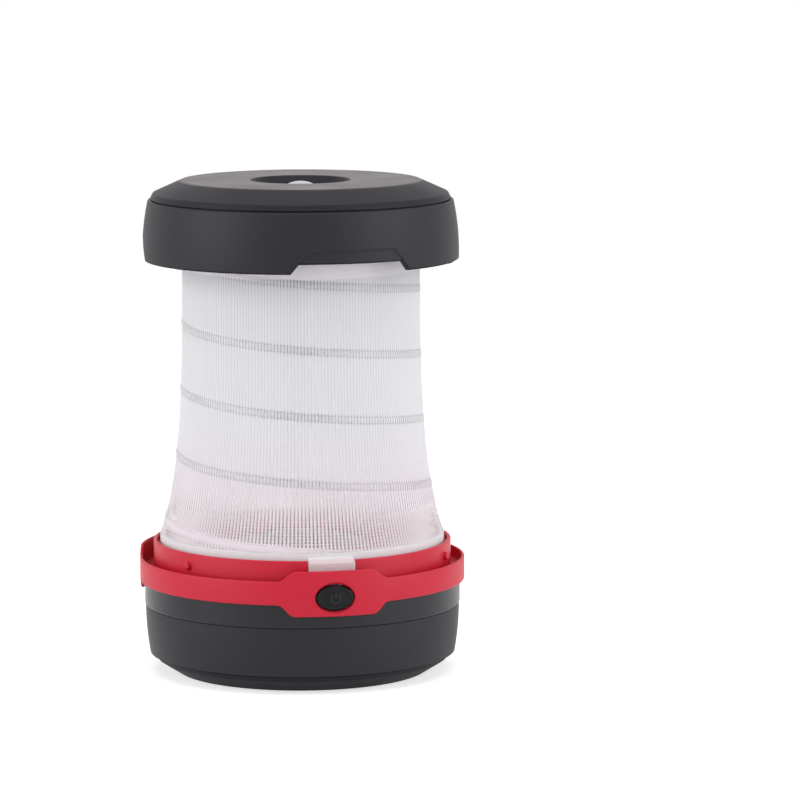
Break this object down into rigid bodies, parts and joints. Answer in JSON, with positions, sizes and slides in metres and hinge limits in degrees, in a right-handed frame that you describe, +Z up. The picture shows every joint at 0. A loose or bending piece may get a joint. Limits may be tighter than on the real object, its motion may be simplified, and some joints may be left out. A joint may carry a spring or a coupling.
{
  "type": "collapsible camping lantern",
  "caption": "Pop-up camping lantern: battery base with push button and folding carry handle, white fabric sleeve on a coil spring, and a bayonet cap with a torch lens.",
  "frame": {"origin": "on the standing face, on the lantern's axis", "axes": "+Z up along the lantern's axis, -Y towards the push button"},
  "size_m": [0.09, 0.0907, 0.136],
  "materials": {
    "case_plastic": "fine matt, slightly soft",
    "red_plastic": "satin moulded",
    "white_plastic": "satin moulded",
    "milky_plastic": "frosted, lets light through",
    "lens": "polished, slightly milky",
    "fabric": "thin woven polyester, lets light through",
    "steel": "zinc plated",
    "spring_steel": "drawn wire",
    "cell": "plain sleeve",
    "board": "green solder mask",
    "led": "yellow phosphor",
    "button_rubber": "matt rubber",
    "red_wire": "insulated wire",
    "black_wire": "insulated wire",
    "bright_plating": "vacuum plated"
  },
  "bodies": {
    "base": {"base_shell": "case_plastic", "battery_holder": "case_plastic", "contact_plates": "steel", "contact_springs": "spring_steel", "battery_1": "cell", "battery_2": "cell", "battery_3": "cell", "holder_screws": "steel", "power_lead": "red_wire", "return_lead": "black_wire", "switch_board": "board", "tact_switch": "steel", "led_board": "board", "board_screws": "steel", "lantern_leds": "led", "torch_led": "led", "led_cover": "milky_plastic", "reflector_deck": "red_plastic", "hem_ring": "white_plastic", "inner_collar": "red_plastic", "red_ring": "red_plastic", "coil_spring": "spring_steel", "diffuser_sleeve": "fabric"},
    "cover": {"bottom_cover": "case_plastic", "handle_pins": "steel"},
    "handle": {"handle": "red_plastic"},
    "button": {"button": "button_rubber"},
    "plunger": {"switch_plunger": "case_plastic"},
    "hoop": {"upper_hoop": "white_plastic"},
    "cap": {"cap_shell": "case_plastic", "cap_top": "case_plastic", "hoop_retainer": "case_plastic", "retainer_screws": "steel", "torch_lens": "lens", "torch_reflector": "bright_plating", "reflector_screws": "steel"}
  },
  "joints": [
    {"name": "collapse", "type": "slide", "parent": "base", "child": "hoop", "axis": [0, 0, -1], "range_m": [0, 0.0838], "stiffness_N_per_m": 14, "springref_m": -0.06, "deforming": ["diffuser_sleeve", "coil_spring"]},
    {"name": "cap_twist", "type": "hinge", "parent": "hoop", "child": "cap", "pos_m": [0, 0, 0.125], "axis": [0, 0, 1], "range_deg": [-8, 0]},
    {"name": "button_press", "type": "slide", "parent": "base", "child": "button", "axis": [0, 1, 0], "range_m": [0, 0.0005], "stiffness_N_per_m": 1500, "springref_m": -0.0003},
    {"name": "switch_click", "type": "slide", "parent": "base", "child": "plunger", "axis": [0, 1, 0], "range_m": [0, 0.0005]},
    {"name": "cover_twist", "type": "hinge", "parent": "base", "child": "cover", "pos_m": [0, 0, 0.007], "axis": [0, 0, 1], "range_deg": [0, 20]},
    {"name": "handle_swing", "type": "hinge", "parent": "cover", "child": "handle", "pos_m": [0, 0, 0.0026], "axis": [0.5, 0.866, 0], "range_deg": [0, 110]}
  ],
  "couplings": [
    {"joint": "switch_click", "follows": "button_press", "ratio": 1}
  ]
}
